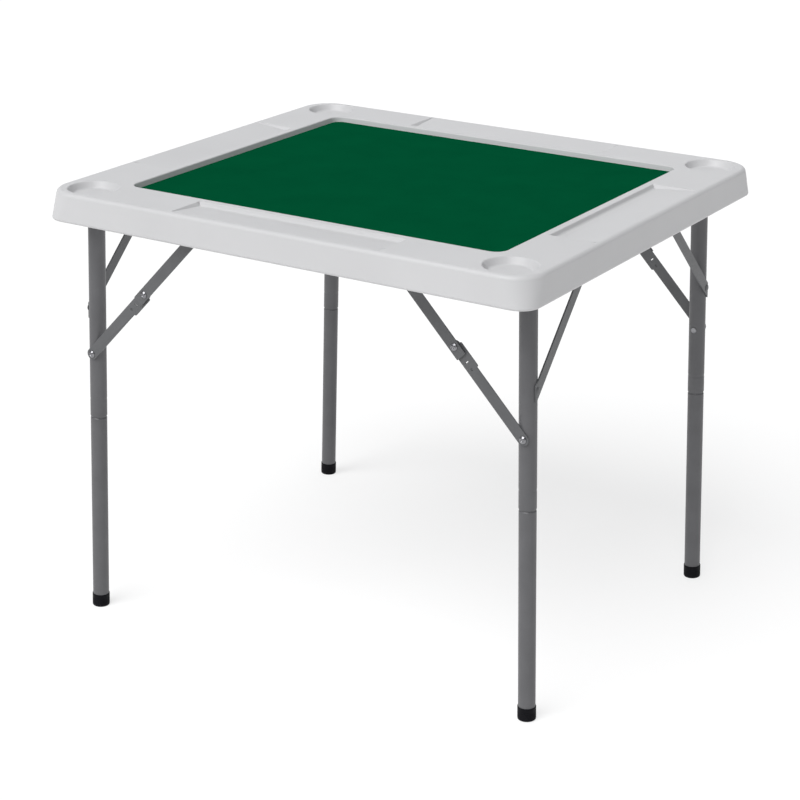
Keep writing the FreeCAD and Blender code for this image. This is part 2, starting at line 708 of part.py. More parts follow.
def make_lower_arm(side, end):
    """The arm on the leg: wider beside the knee, with a pressed slot and a punched hole."""
    name = "%s_%s_lower_arm" % (side, end)
    length = brace_lengths(side, end)[0]
    layer = layer_start(end, size["arm_clearance"])
    along = Vector(0, 1, 0)
    bar, near = arm_strip(name, brace_formulas()[0], layer)
    far = cylinder(name + "_far", "Sizes.arm_width / 2", "Sizes.arm_thickness",
                   Vector(length, layer, 0), along)
    flare_start = length - size["knee_flare_length"]
    lower_side = (side, end) == ("right", "back")
    low = 0 if lower_side else -size["arm_width"] / 2 - size["knee_flare"]
    flare = block(name + "_flare", "Sizes.knee_flare_length", "Sizes.arm_thickness",
                  "Sizes.arm_width / 2 + Sizes.knee_flare", Vector(flare_start, layer, low))
    holes = [
        cylinder(name + "_leg_hole", "Sizes.shank_radius + Sizes.pivot_clearance",
                 "Sizes.arm_thickness", Vector(0, layer, 0), along),
        cylinder(name + "_knee_hole", "Sizes.shank_radius", "Sizes.arm_thickness",
                 Vector(length, layer, 0), along),
        cylinder(name + "_lock_hole", "Sizes.lock_hole_radius", "Sizes.arm_thickness",
                 Vector(length - size["lock_hole_distance"], layer, 0), along),
        block(name + "_slot", "Sizes.shank_radius / 2", "Sizes.arm_thickness",
              "2 * Sizes.shank_radius",
              Vector(length - size["lock_slot_distance"], layer, -size["shank_radius"])),
    ]
    solid = fuse(name + "_solid", [bar, near, far, flare])
    arm = cut(name, solid, fuse(name + "_holes", holes))
    middle = leg_rivet(side, end)
    base = Vector(middle.x, arm_face(side, end), middle.z)
    subpart(arm, name, Placement(base, brace_angle(side, end, True)))
    make_knee_tail(side, end, length)


def make_knee_tail(side, end, length):
    """The closed end of the knee rivet, behind the lower arm."""
    name = "%s_%s_knee_tail" % (side, end)
    outwards = Vector(0, ENDS[end], 0)
    inner = size["arm_clearance"]
    outer = inner + size["arm_thickness"]
    shank = cylinder(name + "_shank", "Sizes.shank_radius", "Sizes.arm_thickness",
                     Vector(length, 0, 0) + outwards * inner, outwards)
    disc = cylinder(name + "_disc", "Sizes.tail_radius", "Sizes.tail_height",
                    Vector(length, 0, 0) + outwards * inner, outwards * -1)
    middle = leg_rivet(side, end)
    base = Vector(middle.x, arm_face(side, end), middle.z)
    subpart(fuse(name, [shank, disc]), name, Placement(base, brace_angle(side, end, True)))


def make_upper_arm(side, end):
    """The arm on the bracket. It runs on past the knee rivet and ends square."""
    name = "%s_%s_upper_arm" % (side, end)
    length = brace_lengths(side, end)[1]
    first = size["arm_clearance"] + size["arm_thickness"] + size["arm_gap"]
    layer = layer_start(end, first)
    along = Vector(0, 1, 0)
    bar, near = arm_strip(name, brace_formulas()[1] + " + Sizes.arm_tail", layer)
    holes = [
        cylinder(name + "_pivot_hole", "Sizes.shank_radius + Sizes.pivot_clearance",
                 "Sizes.arm_thickness", Vector(0, layer, 0), along),
        cylinder(name + "_knee_hole", "Sizes.shank_radius", "Sizes.arm_thickness",
                 Vector(length, layer, 0), along),
    ]
    arm = cut(name, fuse(name + "_solid", [bar, near]), fuse(name + "_holes", holes))
    place = Placement(bracket_pivot(side, end), brace_angle(side, end, False))
    subpart(arm, name, place)
    outwards = Vector(0, ENDS[end], 0)
    face = Vector(length, 0, 0) + outwards * (first + size["arm_thickness"])
    grip = size["arm_thickness"] + size["arm_gap"] - size["arm_clearance"]
    knee = rivet("%s_%s_knee_rivet" % (side, end), face, outwards,
                 ("Sizes.arm_thickness + Sizes.arm_gap - Sizes.arm_clearance", grip), tail=False)
    subpart(knee, "%s_%s_knee_rivet" % (side, end), place)


# ---------------------------------------------------------------- hardware under the deck

def make_saddle(side, end):
    """A block screwed under the deck, with a bore that the cross tube turns in."""
    name = "%s_%s_saddle" % (side, end)
    middle = saddle_middle(side, end)
    start = middle.y - size["saddle_width"] / 2
    outer_radius = size["tube_radius"] + size["saddle_wall"]
    along = Vector(0, 1, 0)
    base = block(name + "_base", "Sizes.saddle_length", "Sizes.saddle_width", "Sizes.saddle_base",
                 Vector(middle.x - size["saddle_length"] / 2, start,
                        DECK_UNDERSIDE - size["saddle_base"]))
    cheek = block(name + "_cheek", "2 * (Sizes.tube_radius + Sizes.saddle_wall)",
                  "Sizes.saddle_width", "Sizes.%s_hinge_drop - Sizes.deck_depth" % side,
                  Vector(middle.x - outer_radius, start, middle.z))
    ring = cylinder(name + "_ring", "Sizes.tube_radius + Sizes.saddle_wall", "Sizes.saddle_width",
                    Vector(middle.x, start, middle.z), along)
    bore = cylinder(name + "_bore", "Sizes.tube_radius + Sizes.pivot_clearance",
                    "Sizes.saddle_width", Vector(middle.x, start, middle.z), along)
    holes = [
        cylinder("%s_hole_%d" % (name, sign + 2), "Sizes.screw_radius", "Sizes.saddle_base",
                 Vector(middle.x + sign * size["saddle_screw_offset"], middle.y,
                        DECK_UNDERSIDE - size["saddle_base"]))
        for sign in (-1, 1)
    ]
    solid = fuse(name + "_solid", [base, cheek, ring])
    subpart(cut(name, solid, fuse(name + "_cuts", [bore] + holes)), name)


def make_bracket(side, end):
    """A narrow base screwed under the deck, and an ear that the upper arm turns on."""
    name = "%s_%s_bracket" % (side, end)
    pivot = bracket_pivot(side, end)
    width = bracket_base_width()
    thickness = size["bracket_thickness"]
    middle_y = bracket_base_middle(side, end)
    ear_inner = pivot.y + ENDS[end] * ear_offset()
    ear_start = min(ear_inner, ear_inner + ENDS[end] * thickness)
    half_ear = size["bracket_ear_width"] / 2
    across = "2 * Sizes.arm_thickness + Sizes.arm_gap + Sizes.bracket_thickness"
    base = block(name + "_base", "Sizes.bracket_length", across, "Sizes.bracket_thickness",
                 Vector(pivot.x - size["bracket_length"] / 2, middle_y - width / 2,
                        DECK_UNDERSIDE - thickness))
    ear = block(name + "_ear", "Sizes.bracket_ear_width", "Sizes.bracket_thickness",
                "Sizes.%s_hinge_drop - Sizes.deck_depth" % side,
                Vector(pivot.x - half_ear, ear_start, pivot.z))
    eye = cylinder(name + "_eye", "Sizes.bracket_ear_width / 2", "Sizes.bracket_thickness",
                   Vector(pivot.x, ear_start, pivot.z), Vector(0, 1, 0))
    holes = [cylinder(name + "_pivot_hole", "Sizes.shank_radius", "Sizes.bracket_thickness",
                      Vector(pivot.x, ear_start, pivot.z), Vector(0, 1, 0))]
    for sign in (-1, 1):
        holes.append(
            cylinder("%s_hole_%d" % (name, sign + 2), "Sizes.screw_radius", "Sizes.bracket_thickness",
                     Vector(pivot.x + sign * size["bracket_screw_offset"], middle_y,
                            DECK_UNDERSIDE - thickness)))
    solid = fuse(name + "_solid", [base, ear, eye])
    subpart(cut(name, solid, fuse(name + "_holes", holes)), name)


def make_bracket_rivets():
    """The four rivets that the upper arms turn on, heads outwards."""
    pieces = []
    for side in SIDES:
        for end in ENDS:
            pivot = bracket_pivot(side, end)
            outwards = Vector(0, ENDS[end], 0)
            face = pivot + outwards * (ear_offset() + size["bracket_thickness"])
            formula = "Sizes.bracket_thickness + Sizes.arm_clearance + Sizes.arm_thickness"
            depth = size["bracket_thickness"] + size["arm_clearance"] + size["arm_thickness"]
            # the tail stands off the turning arm by the pivot clearance
            stand_off = depth + size["pivot_clearance"]
            name = "%s_%s_bracket_rivet" % (side, end)
            pieces.append(rivet(name, face, outwards,
                                (formula + " + Sizes.pivot_clearance", stand_off)))
    subpart(group("bracket_rivets", pieces), "bracket_rivets")


def make_screws(kind, clamped):
    """The pan-head screws that hold the saddles, or the brackets, to the deck."""
    pieces = []
    for number, (owner, spot) in enumerate(screw_spots(), 1):
        if owner != kind:
            continue
        name = "%s_screw_%d" % (kind, number)
        seat = spot - Vector(0, 0, size[clamped])
        down = Vector(0, 0, -1)
        shank = cylinder(name + "_shank", "Sizes.screw_radius",
                         "Sizes.screw_bite + Sizes." + clamped, seat)
        head = cylinder(name + "_head", "Sizes.screw_head_radius", "Sizes.screw_head_height",
                        seat, down)
        pieces.append(fuse(name, [shank, head]))
    subpart(group(kind + "_screws", pieces), kind + "_screws")


# ---------------------------------------------------------------- build, check and write

make_tabletop()
make_felt()
for side_name in SIDES:
    make_cross_tube(side_name)
    for end_name in ENDS:
        make_upper_leg(side_name, end_name)
        make_lower_leg(side_name, end_name)
        make_foot(side_name, end_name)
        make_stay(side_name, end_name)
        make_lower_arm(side_name, end_name)
        make_upper_arm(side_name, end_name)
        make_saddle(side_name, end_name)
        make_bracket(side_name, end_name)
    make_frame_rivets(side_name)
make_bracket_rivets()
make_screws("saddle", "saddle_base")
make_screws("bracket", "bracket_thickness")
doc.recompute()

for item in doc.Objects:
    if "Invalid" in item.State or "Error" in item.State:
        raise RuntimeError("%s failed: %s" % (item.Name, item.State))
for item in subparts:
    if item.Shape.isNull() or not item.Shape.isValid():
        raise RuntimeError("%s has a bad shape" % item.Label)

os.makedirs("parts", exist_ok=True)
for item in subparts:
    item.Shape.exportStep("parts/%s.step" % item.Label)
print("%d sub-parts written" % len(subparts))
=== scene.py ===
import json
import math

import bmesh
import bpy
import numpy as np
from mathutils import Matrix, Vector

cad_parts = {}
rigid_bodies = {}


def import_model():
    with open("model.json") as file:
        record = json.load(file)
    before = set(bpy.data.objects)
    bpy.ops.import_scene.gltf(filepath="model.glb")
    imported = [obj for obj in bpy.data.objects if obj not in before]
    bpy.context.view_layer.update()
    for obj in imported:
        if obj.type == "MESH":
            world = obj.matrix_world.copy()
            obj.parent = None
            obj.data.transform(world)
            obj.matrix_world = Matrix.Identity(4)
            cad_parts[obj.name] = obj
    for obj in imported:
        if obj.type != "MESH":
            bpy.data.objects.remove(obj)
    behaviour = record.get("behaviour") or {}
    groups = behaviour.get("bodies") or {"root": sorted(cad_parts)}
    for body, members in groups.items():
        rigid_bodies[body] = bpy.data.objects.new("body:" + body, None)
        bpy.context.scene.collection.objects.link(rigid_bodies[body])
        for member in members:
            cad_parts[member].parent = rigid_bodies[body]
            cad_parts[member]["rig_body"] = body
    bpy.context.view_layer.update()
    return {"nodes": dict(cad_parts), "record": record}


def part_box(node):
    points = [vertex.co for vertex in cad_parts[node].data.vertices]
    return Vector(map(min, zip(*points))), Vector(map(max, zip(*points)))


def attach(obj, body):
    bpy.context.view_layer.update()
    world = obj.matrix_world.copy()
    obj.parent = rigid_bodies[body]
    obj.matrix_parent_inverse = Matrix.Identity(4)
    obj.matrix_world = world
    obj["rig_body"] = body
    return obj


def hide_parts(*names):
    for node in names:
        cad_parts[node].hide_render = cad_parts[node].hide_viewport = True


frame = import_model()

MM = 0.001
SIDES = ("left", "right")
ENDS = {"front": -1, "back": 1}
scene = bpy.context.scene
nodes = frame["nodes"]
slots = {entry["node"]: entry["material_slot"] for entry in frame["record"]["subparts"]}


# ---------------------------------------------------------------- camera

CAMERA_AT = Vector((1.7118, -2.7431, 1.5686))
YAW = math.radians(32.18)          # turned from looking along +Y towards -X
PITCH = math.radians(20.78)        # below the horizon
ROLL = math.radians(0.34)
LENS = 92.16


def make_camera():
    data = bpy.data.cameras.new("camera")
    data.lens = LENS
    data.sensor_width = 36
    data.clip_start = 0.05
    data.clip_end = 900
    cam = bpy.data.objects.new("camera", data)
    scene.collection.objects.link(cam)
    forward = Vector((-math.sin(YAW) * math.cos(PITCH), math.cos(YAW) * math.cos(PITCH),
                      -math.sin(PITCH)))
    level = Vector((math.cos(YAW), math.sin(YAW), 0))
    upright = level.cross(forward)
    right = level * math.cos(ROLL) + upright * math.sin(ROLL)
    up = upright * math.cos(ROLL) - level * math.sin(ROLL)
    turn = Matrix((right, up, -forward)).transposed().to_4x4()
    cam.matrix_world = Matrix.Translation(CAMERA_AT) @ turn
    scene.camera = cam


# ---------------------------------------------------------------- materials

class Tree:
    """A new material's node tree, with short calls to add and join its nodes."""

    def __init__(self, name):
        self.material = bpy.data.materials.new(name)
        self.material.use_nodes = True
        self.nodes = self.material.node_tree.nodes
        self.links = self.material.node_tree.links
        self.nodes.clear()
        self.shader = self.add("ShaderNodeBsdfPrincipled")
        self.output = self.add("ShaderNodeOutputMaterial")
        self.join(self.shader, "BSDF", self.output, "Surface")
        self.place = self.add("ShaderNodeTexCoord")

    def add(self, kind, **values):
        node = self.nodes.new(kind)
        for name, value in values.items():
            setattr(node, name, value)
        return node

    def join(self, a, out, b, into):
        self.links.new(a.outputs[out], b.inputs[into])

    def set(self, **values):
        for name, value in values.items():
            self.shader.inputs[name.replace("_", " ")].default_value = value

    def noise(self, scale, detail=3.0, roughness=0.5, stretch=None):
        """Noise in the object's own metres; scale is features a metre."""
        node = self.add("ShaderNodeTexNoise")
        node.inputs["Scale"].default_value = scale
        node.inputs["Detail"].default_value = detail
        node.inputs["Roughness"].default_value = roughness
        if stretch:
            mapping = self.add("ShaderNodeMapping")
            mapping.inputs["Scale"].default_value = stretch
            self.join(self.place, "Object", mapping, "Vector")
            self.join(mapping, "Vector", node, "Vector")
        else:
            self.join(self.place, "Object", node, "Vector")
        return node

    def ramp(self, noise, low, high, from_low=0.3, from_high=0.7):
        """A noise's value, spread over a new range."""
        node = self.add("ShaderNodeMapRange")
        node.inputs["From Min"].default_value = from_low
        node.inputs["From Max"].default_value = from_high
        node.inputs["To Min"].default_value = low
        node.inputs["To Max"].default_value = high
        self.join(noise, "Fac", node, "Value")
        return node

    def blend(self, ramp, colour_a, colour_b):
        """A colour that wanders between two others with a ramp from 0 to 1."""
        node = self.add("ShaderNodeMix", data_type="RGBA")
        node.inputs["A"].default_value = (*colour_a, 1)
        node.inputs["B"].default_value = (*colour_b, 1)
        self.join(ramp, "Result", node, "Factor")
        return node

    def colour(self, node):
        self.join(node, "Result", self.shader, "Base Color")

    def gloss(self, noise, low, high):
        """Roughness between low and high, with a noise."""
        self.join(self.ramp(noise, low, high), "Result", self.shader, "Roughness")

    def bump(self, layers, distance):
        """Bumps one over another: each layer is a noise and its strength."""
        last = None
        for noise, strength in layers:
            bump = self.add("ShaderNodeBump")
            bump.inputs["Strength"].default_value = strength
            bump.inputs["Distance"].default_value = distance
            self.join(noise, "Fac", bump, "Height")
            if last:
                self.join(last, "Normal", bump, "Normal")
            last = bump
        self.join(last, "Normal", self.shader, "Normal")


def moulding_material():
    """Blow-moulded polyethylene: pale grey, finely pebbled, satin."""
    tree = Tree("moulding_grain")
    cloud = tree.noise(7, 4)
    pebble = tree.noise(900, 3, 0.6)
    swell = tree.noise(35, 2)
    tree.colour(tree.blend(tree.ramp(cloud, 0, 1), (0.548, 0.548, 0.556), (0.572, 0.572, 0.580)))
    tree.gloss(pebble, 0.36, 0.5)
    tree.set(Specular_IOR_Level=0.42, IOR=1.5)
    tree.bump([(pebble, 0.16), (swell, 0.05)], 0.0006)
    return tree.material


def felt_material():
    """Short napped felt: fine crossed fibres, slightly cloudy green."""
    tree = Tree("felt_nap")
    cloud = tree.noise(14, 5, 0.6)
    fibre = tree.noise(1400, 4, 0.7)
    strand = tree.noise(520, 3, 0.65, (1, 0.35, 1))
    tone = tree.blend(tree.ramp(cloud, 0, 1), (0.0004, 0.066, 0.0245), (0.0006, 0.074, 0.0275))
    speck = tree.add("ShaderNodeMix", data_type="RGBA", blend_type="MULTIPLY")
    speck.inputs["Factor"].default_value = 1
    tree.join(tone, "Result", speck, "A")
    tree.join(tree.ramp(fibre, 0.82, 1.12), "Result", speck, "B")
    tree.colour(speck)
    tree.set(Roughness=0.95, Specular_IOR_Level=0.0, Sheen_Weight=0.04, Sheen_Roughness=0.5,
             Sheen_Tint=(0.0, 0.5, 0.25, 1))
    tree.bump([(strand, 0.35), (fibre, 0.5)], 0.0008)
    return tree.material


def powder_material(name, dark, light, grain, rough):
    """Powder coat on steel: a hammered grain, with a slightly uneven gloss."""
    tree = Tree(name)
    cloud = tree.noise(22, 3)
    dapple = tree.noise(grain, 3, 0.55)
    tree.colour(tree.blend(tree.ramp(cloud, 0, 1), dark, light))
    tree.gloss(dapple, rough - 0.07, rough + 0.09)
    tree.set(Specular_IOR_Level=0.5, Metallic=0.0)
    tree.bump([(dapple, 0.22)], 0.0007)
    return tree.material


def zinc_material():
    """Bright zinc plate with faint turning marks."""
    tree = Tree("zinc_plate")
    cloud = tree.noise(260, 4)
    scratch = tree.noise(1800, 2, 0.5, (1, 1, 0.2))
    tree.colour(tree.blend(tree.ramp(cloud, 0, 1), (0.20, 0.20, 0.215), (0.33, 0.33, 0.34)))
    tree.gloss(cloud, 0.24, 0.36)
    tree.set(Metallic=1.0)
    tree.bump([(scratch, 0.08)], 0.0003)
    return tree.material


def rubber_material(name, dark, light, rough, shine):
    """Dark moulded rubber or nylon, with a matt, slightly dusty skin."""
    tree = Tree(name)
    cloud = tree.noise(90, 4, 0.6)
    grain = tree.noise(1500, 2)
    tree.colour(tree.blend(tree.ramp(cloud, 0, 1, 0.4, 0.75), dark, light))
    tree.gloss(cloud, rough - 0.08, rough + 0.1)
    tree.set(Specular_IOR_Level=shine)
    tree.bump([(grain, 0.15)], 0.0004)
    return tree.material


def floor_material():
    """A white cyclorama floor, lit a little from within as an overexposed backdrop is."""
    tree = Tree("studio_floor")
    tree.set(Roughness=0.9, Specular_IOR_Level=0.0, Base_Color=(0.32, 0.32, 0.32, 1),
             Emission_Color=(1.0, 1.0, 1.0, 1), Emission_Strength=0.70)
    return tree.material


materials = {
    "white_moulding": moulding_material(),
    "green_felt": felt_material(),
    "grey_powder_coat": powder_material("tube_powder", (0.095, 0.095, 0.100),
                                        (0.112, 0.112, 0.118), 700, 0.42),
    "brace_powder_coat": powder_material("brace_powder", (0.088, 0.090, 0.094),
                                         (0.108, 0.110, 0.115), 420, 0.38),
    "zinc_rivet": zinc_material(),
    "black_cap": rubber_material("cap_rubber", (0.0012, 0.0012, 0.0030),
                                 (0.0030, 0.0030, 0.0050), 0.6, 0.14),
    "saddle_plastic": rubber_material("saddle_nylon", (0.030, 0.030, 0.033),
                                      (0.042, 0.042, 0.046), 0.45, 0.4),
}


# ---------------------------------------------------------------- mesh helpers

MERGE = 1e-6             # points closer than this are one point
CORNER_STEPS = 14        # chords in each round corner of a rectangle


def piece(name, mesh, body, slot, node):
    """Wrap a mesh as a piece that rides on a body and stands for a CAD node."""
    item = bpy.data.objects.new(name, mesh)
    scene.collection.objects.link(item)
    mesh.materials.clear()
    mesh.materials.append(materials[slot])
    for face in mesh.polygons:
        face.use_smooth = True
    shade = item.modifiers.new("even", "WEIGHTED_NORMAL")
    shade.weight = 100
    shade.keep_sharp = True
    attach(item, body)
    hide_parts(node)
    return item


def finish_mesh(bm, name, merge=MERGE):
    bmesh.ops.remove_doubles(bm, verts=bm.verts, dist=merge)
    bmesh.ops.recalc_face_normals(bm, faces=bm.faces)
    mesh = bpy.data.meshes.new(name)
    bm.to_mesh(mesh)
    bm.free()
    return mesh


def points_of(node):
    return [v.co.copy() for v in nodes[node].data.vertices]


def middle(points):
    """The middle of the points' box."""
    low = Vector(min(p[i] for p in points) for i in range(3))
    high = Vector(max(p[i] for p in points) for i in range(3))
    return (low + high) / 2


def rounded(points, radii, step=12):
    """A line in 2-D with its inner corners turned into arcs. Each chord turns by about a step of
    degrees, and a radius of zero leaves the corner sharp."""
    out = [Vector(points[0])]
    for before, corner, after, radius in zip(points, points[1:], points[2:], radii):
        corner = Vector(corner)
        a = (Vector(before) - corner).normalized()
        b = (Vector(after) - corner).normalized()
        half = math.acos(max(-1.0, min(1.0, a.dot(b)))) / 2
        if radius <= 0:
            out.append(corner)
            continue
        reach = radius / math.tan(half)
        centre = corner + (a + b).normalized() * (radius / math.sin(half))
        first = corner + a * reach - centre
        last = corner + b * reach - centre
        sweep = math.atan2(first.cross(last), first.dot(last))
        count = max(2, round(abs(math.degrees(sweep)) / step))
        for k in range(count + 1):
            t = sweep * k / count
            out.append(centre + Vector((first.x * math.cos(t) - first.y * math.sin(t),
                                        first.x * math.sin(t) + first.y * math.cos(t))))
    out.append(Vector(points[-1]))
    return out


def rectangle_loop(half_x, half_y, radius):
    """Points round a rectangle with round corners, anticlockwise, the same number for any size."""
    points = []
    for quarter, (sx, sy) in enumerate(((1, 1), (-1, 1), (-1, -1), (1, -1))):
        centre = Vector((sx * (half_x - radius), sy * (half_y - radius)))
        for k in range(CORNER_STEPS + 1):
            angle = math.pi / 2 * (quarter + k / CORNER_STEPS)
            points.append(centre + Vector((math.cos(angle), math.sin(angle))) * radius)
    return points


def circle_loop(centre, radius, count):
    return [Vector((centre[0] + radius * math.cos(2 * math.pi * k / count),
                    centre[1] + radius * math.sin(2 * math.pi * k / count)))
            for k in range(count)]


def add_loop(bm, points, z):
    return [bm.verts.new((p.x, p.y, z)) for p in points]


def skin(bm, loops):
    """Join each loop to the next with a band of faces."""
    for low, high in zip(loops, loops[1:]):
        for k in range(len(low)):
            n = (k + 1) % len(low)
            bm.faces.new((low[k], low[n], high[n], high[k]))


def pocket(bm, profile, centre, level, count):
    """A round hollow with a closed floor, from a profile of (radius, height). Returns its mouth."""
    rings = [add_loop(bm, circle_loop(centre, p.x, count), level + p.y) for p in profile]
    skin(bm, rings)
    bm.faces.new(rings[-1])
    return rings[0]


def fill_flat(bm, loops):
    """Fill a flat region between an outer loop and the loops of its holes."""
    pairs = [pair for loop in loops for pair in zip(loop, loop[1:] + loop[:1])]
    edges = [bm.edges.get(pair) or bm.edges.new(pair) for pair in pairs]
    bmesh.ops.triangle_fill(bm, use_beauty=True, use_dissolve=False, edges=edges)


def revolve(bm, profile, base, axis, count):
    """Turn a profile of (radius, height) round an axis from base, closing radii of zero."""
    axis = axis.normalized()
    side = axis.orthogonal().normalized()
    other = axis.cross(side)
    rings = []
    for radius, height in profile:
        centre = base + axis * height
        if radius < 1e-7:
            rings.append([bm.verts.new(centre)])
            continue
        rings.append([bm.verts.new(centre + (side * math.cos(a) + other * math.sin(a)) * radius)
                      for a in (2 * math.pi * k / count for k in range(count))])
    for low, high in zip(rings, rings[1:]):
        if len(low) == 1 and len(high) == 1:
            continue
        for k in range(count):
            n = (k + 1) % count
            if len(low) == 1:
                bm.faces.new((low[0], high[n], high[k]))
            elif len(high) == 1:
                bm.faces.new((low[k], low[n], high[0]))
            else:
                bm.faces.new((low[k], low[n], high[n], high[k]))


def lathe(name, profile, base, axis, count):
    bm = bmesh.new()
    revolve(bm, profile, base, axis, count)
    return finish_mesh(bm, name)


# ---------------------------------------------------------------- the moulded top

lo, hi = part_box("tabletop")
RIM = hi.z
FOOT = lo.z
HALF_X = (hi.x - lo.x) / 2 + 0.2 * MM
HALF_Y = (hi.y - lo.y) / 2 + 0.2 * MM
FOOT_CORNER = 34 * MM
RIM_CORNER = 55 * MM
WELL_CORNER = 46 * MM
SKIRT_LEAN = math.tan(math.radians(2.5))
SKIRT_THICK = 15 * MM
DECK = RIM - 25 * MM                     # the deck's underside

FIELD = (340 * MM, 295 * MM)             # half sizes of the felt's recess
FIELD_CORNER = 20 * MM
FIELD_DEPTH = 9.6 * MM
FIELD_FLOOR = RIM - FIELD_DEPTH
FIELD_LEAN = math.tan(math.radians(12))

CUP_AT = (379 * MM, 336 * MM)
CUP_STEPS = 64
CUP = rounded([(43.6 * MM, 0), (41 * MM, 0), (33.5 * MM, -11 * MM), (12 * MM, -11 * MM)],
              (3.6 * MM, 5 * MM), 8)

TOP_HALF = (440 * MM, 390 * MM)
TRAY_LENGTHS = (350 * MM, 378 * MM)      # of the trays at the ends of X, and of Y
TRAY_FROM_FIELD = 13 * MM
TRAY_FROM_EDGE = 11 * MM
TRAY_DEPTH = 7 * MM
END_SLOPE = 2.0
RIM_BLEND = 1.6 * MM                     # how softly an end's slope leaves the rim
FLOOR_BLEND = 1.4 * MM                   # and how softly it meets the tray's floor

TACK_PITCH = (72, 78)                    # millimetres between tack-off points
TACK_REACH = (395 * MM, 345 * MM)
TACK_CLEAR = 19 * MM                     # kept free round the hardware
TACK_FROM_BLOW = 30 * MM
TACK_STEPS = 28
TACK = rounded([(11.5 * MM, 0), (9 * MM, 0), (5.5 * MM, 5 * MM), (2 * MM, 5 * MM)],
               (1.5 * MM, 1.5 * MM), 18)
BLOW_HOLE = rounded([(7 * MM, 0), (4 * MM, 0), (4 * MM, 9 * MM), (1 * MM, 9 * MM)],
                    (0.8 * MM, 0.5 * MM), 25)


def shell_profile():
    """(inset, height, whether inside the well) from the deck's underside, round the skirt's foot
    and up its face to the rim. The inset is from the outer outline."""
    lean = (RIM - FOOT) * SKIRT_LEAN
    points = [(19 * MM, DECK), (SKIRT_THICK, DECK), (SKIRT_THICK, FOOT), (0, FOOT), (lean, RIM),
              (lean + 7.2 * MM, RIM)]
    line = rounded(points, (3 * MM, 3.5 * MM, 4.5 * MM, 6.8 * MM), 9)
    return [(p.x, p.y, p.x > 10 * MM and p.y < RIM - 1 * MM) for p in line]


def add_shell(bm):
    """The skirt, inside and out. Returns its loops at the deck's underside and at the rim."""
    loops = []
    for inset, z, well in shell_profile():
        climb = (z - FOOT) / (RIM - FOOT)
        corner = WELL_CORNER if well else FOOT_CORNER + (RIM_CORNER - FOOT_CORNER) * climb
        points = rectangle_loop(HALF_X - inset, HALF_Y - inset, corner - inset)
        loops.append(add_loop(bm, points, z))
    skin(bm, loops)
    return loops[0], loops[-1]


def add_field(bm):
    """The recess for the felt. Returns its mouth."""
    foot = FIELD_DEPTH * FIELD_LEAN
    wall = rounded([(4 * MM, RIM), (0, RIM), (-foot, FIELD_FLOOR), (-foot - 5 * MM, FIELD_FLOOR)],
                   (2.5 * MM, 0.4 * MM), 10)
    loops = [add_loop(bm, rectangle_loop(FIELD[0] + p.x, FIELD[1] + p.x, FIELD_CORNER + p.x), p.y)
             for p in wall]
    skin(bm, loops)
    bm.faces.new(loops[-1])
    return loops[0]


def smooth_min(a, b, k):
    h = np.clip(k - np.abs(a - b), 0, None) / k
    return np.minimum(a, b) - h * h * k / 4


def smooth_max(a, b, k):
    return -smooth_min(-a, -b, k)


def add_tray(bm, length, inner, outer, turn):
    """One sloping tray as a grid of heights. Returns its mouth."""
    half = length / 2
    section = rounded(
        [(inner - 3 * MM, 0), (inner, 0), (inner + 4 * MM, -TRAY_DEPTH), (outer, 0),
         (outer + 1.2 * MM, 0)], (2.4 * MM, 5 * MM, 16 * MM), 8)
    line = np.array([p.x for p in section])
    extra = np.linspace(line[-3], line[-1], 4)[1:-1]
    across = np.unique(np.concatenate([line, extra]))
    drop = np.interp(across, line, np.array([-p.y for p in section]))
    start = np.concatenate([np.linspace(-half - 2 * MM, -half + 6 * MM, 31),
                            np.linspace(-half + 8 * MM, 0, 10)])
    along = np.concatenate([start, -start[-2::-1]])
    ramp = END_SLOPE * (half - np.abs(along))[:, None]
    ramp = smooth_max(ramp, np.zeros_like(ramp), RIM_BLEND)
    floor = np.broadcast_to(drop[None, :], (len(along), len(across)))
    depth = smooth_min(floor, ramp, FLOOR_BLEND)
    depth = np.maximum(depth, 0)
    depth[0, :] = depth[-1, :] = 0
    depth[:, 0] = depth[:, -1] = 0
    spin = Matrix.Rotation(turn, 3, "Z")
    grid = [[bm.verts.new(spin @ Vector((x, y, 0)) + Vector((0, 0, RIM - depth[i, j])))
             for j, y in enumerate(across)] for i, x in enumerate(along)]
    for row, after in zip(grid, grid[1:]):
        for j in range(len(row) - 1):
            bm.faces.new((row[j], after[j], after[j + 1], row[j + 1]))
    mouth = [row[0] for row in grid] + grid[-1][1:]
    return mouth + [row[-1] for row in grid[-2::-1]] + grid[0][-2:0:-1]


def tack_spots():
    """Tack-off points under the deck, on a grid, clear of the hardware that is screwed there."""
    keep_off = [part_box(n) for n in nodes if n.endswith(("_saddle", "_bracket", "_cross_tube"))]
    spots = []
    for i in range(-5, 6):
        for j in range(-4, 5):
            x, y = i * TACK_PITCH[0] * MM, (j + 0.5 * (i % 2)) * TACK_PITCH[1] * MM
            if (abs(x) > TACK_REACH[0] or abs(y) > TACK_REACH[1]
                    or math.hypot(x, y) < TACK_FROM_BLOW):
                continue
            if any(a.x - TACK_CLEAR < x < b.x + TACK_CLEAR
                   and a.y - TACK_CLEAR < y < b.y + TACK_CLEAR for a, b in keep_off):
                continue
            spots.append((x, y))
    return spots


